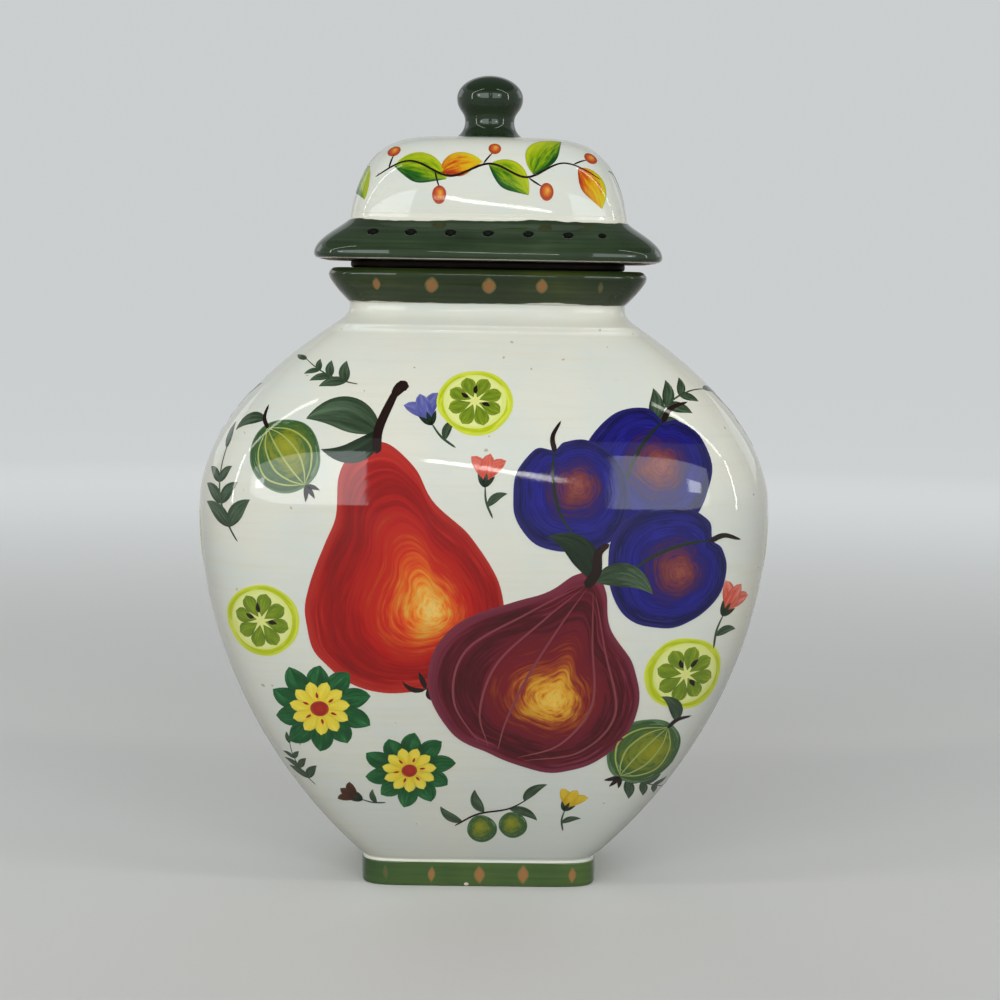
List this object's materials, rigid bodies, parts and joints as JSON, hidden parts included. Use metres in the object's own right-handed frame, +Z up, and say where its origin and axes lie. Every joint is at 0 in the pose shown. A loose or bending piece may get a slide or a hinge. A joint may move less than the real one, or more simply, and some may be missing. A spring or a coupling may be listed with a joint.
{
  "type": "biscotti jar",
  "caption": "Oblong lidded ceramic biscotti jar with a swelling belly, small foot, flared rim and a domed, overhanging lid with a round knob and a rubber seal.",
  "frame": {"origin": "centre of the foot's underside, where the jar stands", "axes": "+Z up along the way the lid lifts; the wide faces look along +Y and -Y, the narrow faces along +X and -X"},
  "size_m": [0.2028, 0.14, 0.292],
  "materials": {
    "jar_glaze": "gloss",
    "lid_glaze": "gloss",
    "knob_glaze": "gloss",
    "seal_rubber": "matte"
  },
  "bodies": {
    "jar": {"jar_body": "jar_glaze"},
    "lid": {"lid": "lid_glaze", "lid_knob": "knob_glaze", "lid_seal": "seal_rubber"}
  },
  "joints": [
    {"name": "lid_lift", "type": "slide", "parent": "jar", "child": "lid", "axis": [0, 0, 1], "range_m": [0, 0.12]}
  ]
}
